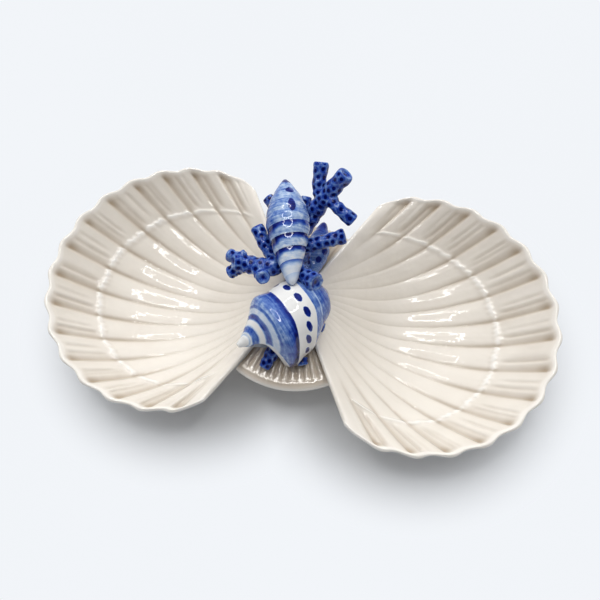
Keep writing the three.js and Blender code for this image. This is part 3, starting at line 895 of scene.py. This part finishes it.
# %% Spindle shell and its paint
spindle_pitch = 0.112
spindle_glaze, tree, shader = gloss("spindle_glaze", 0.06)
along, turn = mesh_value(tree, "along"), mesh_value(tree, "turn")
winding = calc(tree, "DIVIDE", minus(tree, along, whorl_start), spindle_pitch)
whorl = calc(tree, "FRACT", minus(tree, winding, turn))
from_left = step(tree, turn, 0.72, 0.56)
fade_start = minus(tree, 0.4, times(tree, from_left, 0.35))
run_out = step(tree, whorl, fade_start, 0.97)
lower_part = times(tree, step(tree, along, 0.1, 0.3), step(tree, along, 0.6, 0.46))
band = times(tree, run_out, plus(tree, times(tree, lower_part, 0.84), 0.12))
wash = plus(tree, times(tree, step(tree, along, 0.1, 0.55), 0.26), 0.1)
amount = plus(tree, plus(tree, wash, band), times(tree, from_left, 0.16))
spindle_dots = [(0.985, 0.8, 0.035, 0.2), (0.847, 0.805, 0.034, 0.05), (0.681, 0.8, 0.066, 0.03)]
spots = dots(tree, along, turn, spindle_dots)
amount = larger(tree, amount, times(tree, spots, 1.05))
streaks = times(tree, step(tree, along, 0.0, 0.4), 0.75)
paint_over(tree, shader, shell_ripples, Amount=amount, Streaks=streaks, Along=along, Turn=turn)
plain_shell(
    "spindle", "spindle_shell", spindle_glaze, 69.0,
    [(0, 1), (0.04, 3.4), (0.2, 7.4), (0.42, 12), (0.6, 13.6), (0.78, 10.8), (0.94, 4.6), (1, 1.4)],
    spindle_pitch, 0.035, ((0.3, -7.6, 38.5), (-16, 59, 47.5), (30, 0, 40)),
)

# %% Rear shell and its paint
rear_glaze, tree, shader = gloss("rear_glaze", 0.06)
along, turn = mesh_value(tree, "along"), mesh_value(tree, "turn")
amount = plus(tree, times(tree, step(tree, along, 0.5, 0.0), 0.5), 0.5)
rear_dots = [(0.576, 0.17, 0.07, 0.05), (0.36, 0.2, 0.06, 0.05), (0.75, 0.22, 0.05, 0.05)]
spots = dots(tree, along, turn, rear_dots)
amount = larger(tree, amount, spots)
paint_over(tree, shader, shell_ripples, Amount=amount, Streaks=0.55, Along=along, Turn=turn)
plain_shell(
    "rear_snail", "rear_shell", rear_glaze, 42.0,
    [(0, 0.8), (0.06, 2.8), (0.3, 6.6), (0.55, 8.4), (0.8, 6.2), (1, 1.2)],
    0.16, 0.06, ((9.3, 56, 7), (7, 14, 7.6), (30, 30, 0)),
)

# %% [markdown]
# ## Coral
# Coral branches are rolled clay fingers pressed together, so their joints flow into each other and
# their ends are blunt, with a raised ring round a small hollow. Each finger starts as a tube along a
# bent path. All fingers of a branch go through one voxel remesh, which melts them into a single
# skin as wet clay does. A metaball would also melt them, but would lose the ringed ends.

# %% Fingers along bent paths
def bent_path(points, count):
    """A centripetal curve through the bend points: its places and directions."""
    points = np.array(points, float)
    points = np.concatenate([[2 * points[0] - points[1]], points, [2 * points[-1] - points[-2]]])
    path = []
    for k in range(1, len(points) - 2):
        p0, p1, p2, p3 = points[k - 1:k + 3]
        g0, g1, g2 = (math.sqrt(np.linalg.norm(b - a)) for a, b in ((p0, p1), (p1, p2), (p2, p3)))
        m1 = ((p1 - p0) / g0 - (p2 - p0) / (g0 + g1) + (p2 - p1) / g1) * g1
        m2 = ((p2 - p1) / g1 - (p3 - p1) / (g1 + g2) + (p3 - p2) / g2) * g1
        t = np.linspace(0, 1, count + 1)[:, None]
        if k < len(points) - 3:
            t = t[:-1]
        cubic = (2 * p1 - 2 * p2 + m1 + m2) * t ** 3 + (3 * p2 - 3 * p1 - 2 * m1 - m2) * t ** 2
        path.append(cubic + m1 * t + p1)
    path = np.concatenate(path)
    heading = np.gradient(path, axis=0)
    return path, heading / np.linalg.norm(heading, axis=1, keepdims=True)


finger_sides, per_span = 20, 10
knob_height, out_of_round, end_flare = 0.07, 0.04, 0.1
ringed_end = [(0.97, 0.1), (0.88, 0.22), (0.74, 0.28), (0.58, 0.22), (0.4, 0.1), (0.15, 0.05)]


def finger(points, radii, seed):
    path, heading = bent_path(points, per_span)
    girth = np.interp(np.linspace(0, 1, len(path)), np.linspace(0, 1, len(radii)), radii)
    ring, last = np.arange(len(path)), len(path) - 1
    knobs = 1 + knob_height * np.sin(ring * 1.3 + seed)
    girth = girth * np.where(ring < last - 2, knobs, 1)
    girth = girth * (1 + end_flare * smooth(ring, last - 6, last))
    path = np.concatenate([path, [path[-1] + heading[-1] * push * girth[-1] for _, push in ringed_end]])
    girth = np.concatenate([girth, [narrow * girth[-1] for narrow, _ in ringed_end]])
    heading = np.concatenate([heading, np.repeat(heading[-1:], len(ringed_end), 0)])
    helper = np.array([0.3, -0.5, 0.8])
    turns = np.linspace(0, 2 * np.pi, finger_sides + 1)[:-1]
    rings = []
    for centre, way, radius in zip(path, heading, girth):
        first = np.cross(way, helper)
        first = first / np.linalg.norm(first)
        second = np.cross(way, first)
        wobble = radius * (1 + out_of_round * np.sin(3 * turns + seed + 0.2 * centre[2]))
        around = np.cos(turns)[:, None] * first + np.sin(turns)[:, None] * second
        rings.append(centre + wobble[:, None] * around)
    return np.array(rings)


# %% [markdown]
# Real coral is pitted with small cups. They are pressed into the mesh itself, so that they catch the
# light and stay when the mesh is saved without its material. Cup centres are drawn at random on the
# skin, never closer than one spacing, and each point then finds its two nearest centres: the nearest
# one gives the cup, and where both are equally far runs the raised net between the cups.

# %% Cups pressed into the skin
cup_spacing, cup_floor, cup_edge, cup_depth = 3.7, 1.1, 1.75, 0.24
net_width, net_height = 1.6, 0.08


def cup_marks(skin, seed):
    centres = []
    for point in skin[np.random.default_rng(seed).permutation(len(skin))[:2500]]:
        if not centres or np.min(np.sum((np.array(centres) - point) ** 2, 1)) > cup_spacing ** 2:
            centres.append(point)
    marks = KDTree(len(centres))
    for number, centre in enumerate(centres):
        marks.insert(centre, number)
    marks.balance()
    gaps = np.array([[hit[2] for hit in marks.find_n(point, 2)] for point in skin])
    cup = 1 - smooth(gaps[:, 0], cup_floor, cup_edge)
    return cup, 1 - smooth(gaps[:, 1] - gaps[:, 0], 0.1, net_width)


# %% Melt the fingers of a branch together
def point_vectors(mesh, kind):
    numbers = np.zeros(len(mesh.vertices) * 3, np.float32)
    mesh.vertices.foreach_get(kind, numbers)
    return numbers.reshape(-1, 3).astype(float)


def coral_branch(name, node, fingers, material):
    points, faces, ends = [], [], []
    for seed, (path, radii) in enumerate(fingers):
        rings = finger(path, radii, seed * 2.1 + len(name))
        faces += capped_tube(*rings.shape[:2], sum(len(part) for part in points))
        points.append(rings.reshape(-1, 3))
        place, heading = bent_path(path, per_span)
        ends.append((place[-1] + (0, 0, plate_top), heading[-1], radii[-1]))
    points = np.concatenate(points) + (0, 0, plate_top)
    clay = new_object(name + "_fingers", (points * MM).tolist(), faces)
    melt = clay.modifiers.new("melt", "REMESH")
    melt.mode = "VOXEL"
    melt.voxel_size = 0.5 * MM
    soften = clay.modifiers.new("soften", "SMOOTH")
    soften.factor = 0.5
    soften.iterations = 3
    melted = clay.evaluated_get(bpy.context.evaluated_depsgraph_get()).to_mesh()
    skin, facing = point_vectors(melted, "co") / MM, point_vectors(melted, "normal")
    skin_faces = [tuple(polygon.vertices) for polygon in melted.polygons]
    bpy.data.objects.remove(clay)

    rim, hollow = np.zeros(len(skin)), np.zeros(len(skin))
    for place, heading, radius in ends:
        gap = skin - place
        forward = gap @ heading
        aside = np.linalg.norm(gap - forward[:, None] * heading, axis=1) / radius
        ahead = forward / radius
        near = smooth(ahead, -0.35, 0.05) * (1 - smooth(ahead, 0.6, 1.0)) * (aside < 1.4)
        rim = np.maximum(rim, near * np.exp(-(((aside - 0.78) / 0.2) ** 2)))
        hollow = np.maximum(hollow, near * np.exp(-((aside / 0.42) ** 2)))
    cup, net = (mark * (1 - np.maximum(rim, hollow)) for mark in cup_marks(skin, len(name)))
    skin = skin + facing * (net_height * net - cup_depth * cup)[:, None]
    values = {"rim": rim, "hollow": hollow, "cup": cup, "net": net}
    piece(name, skin, skin_faces, node, material, values)


# %% [markdown]
# The coral's paint is cobalt all over. It runs off the net and the ringed ends, which stay paler, and
# gathers in the cups and in the hollow of each end, where it is darkest. The cups also mirror less.

# %% Coral paint
coral_glaze, tree, shader = gloss("coral_glaze", 0.07)
cup, net, rim, hollow = (mesh_value(tree, name) for name in ("cup", "net", "rim", "hollow"))
amount = minus(tree, 0.8, times(tree, net, 0.2))
amount = minus(tree, amount, times(tree, rim, 0.3))
amount = larger(tree, amount, times(tree, larger(tree, cup, hollow), 1.35))
paint_over(tree, shader, coral_ripples, Amount=amount, Streaks=1.1, Along=0.0, Turn=0.0)
mirror = minus(tree, 0.35, times(tree, cup, 0.25))
tree.links.new(mirror, shader.inputs["Specular IOR Level"])
print("coral cups every", cup_spacing, "mm")

# %% Coral branches
coral_fingers = {
    "coral_stem": [([(-2, 19, -2), (-3, 21, 12), (-4, 24, 24), (-5, 26, 36)], [12, 9.5, 8.5, 8])],
    "coral_antler": [
        ([(-3, 30, 30), (3, 42, 36), (11.5, 49.4, 49.5), (21.7, 56.8, 64.5)], [5.6, 5.8, 5.4, 4.9]),
        ([(9, 49, 47), (6.4, 53.8, 49.5), (5.6, 66.7, 58.5)], [4.2, 4.2, 4.5]),
        ([(13, 49, 51.5), (18.7, 43.4, 50.5), (29.5, 38.2, 45.5)], [4.2, 3.9, 4]),
    ],
    "coral_right_branch": [([(0, 22.5, 31), (12.8, 26.2, 34.5), (25.3, 30.8, 37.5)], [4.6, 4.4, 4.6])],
    "coral_left_arm": [
        ([(-5, 18, 28), (-17, 5, 32), (-31, 5.5, 31), (-38, 4, 34)], [5.8, 6, 5.6, 4.4]),
        ([(-31, 5.5, 31), (-38, 8, 32), (-43, 9.5, 32)], [4.4, 4.2, 3.8]),
        ([(-31, 5.5, 30), (-37, 3, 27), (-41.5, 0.6, 25)], [4.4, 4.2, 3.8]),
        ([(-24, 4, 31), (-20, -1.5, 33), (-18.4, -4, 36)], [4.6, 4.6, 4.2]),
        ([(-32, 7, 32), (-35.6, 11, 35)], [3.4, 2.6]),
    ],
    "coral_left_finger": [([(-7, 14, 28), (-15.2, 12.6, 31), (-28.4, 27.4, 38.5)], [4.6, 4.4, 4.1])],
    "coral_cross_branch": [([(-4, 15, 26), (2.5, 5.5, 30.5), (13.3, -2.5, 36.5)], [5.4, 5.4, 5.6])],
    "coral_back_left_finger": [([(-6, 32, 30), (-16, 42, 34), (-25.9, 50, 38.5)], [4.4, 4, 3.4])],
    "coral_back_right_finger": [([(-3, 33, 29), (-2.5, 44, 33.5), (-2, 53.8, 38.5)], [4.4, 4, 3.4])],
    "coral_front_leg": [([(-4, -33, 5), (-8, -40, 3.6), (-11.6, -49, 0.6)], [5, 4.6, 3.4])],
    "coral_front_nub": [([(10.5, -40, 1.2), (11.2, -41.6, 0.9), (11.8, -43.2, 0.4)], [4, 3.8, 3.4])],
    "coral_side_nub": [([(10, -17, 7), (16, -18.4, 6.6), (21, -19.4, 6.4)], [4, 3.6, 3])],
}
for node, fingers in coral_fingers.items():
    coral_branch(node.replace("coral", "painted"), node, fingers, coral_glaze)
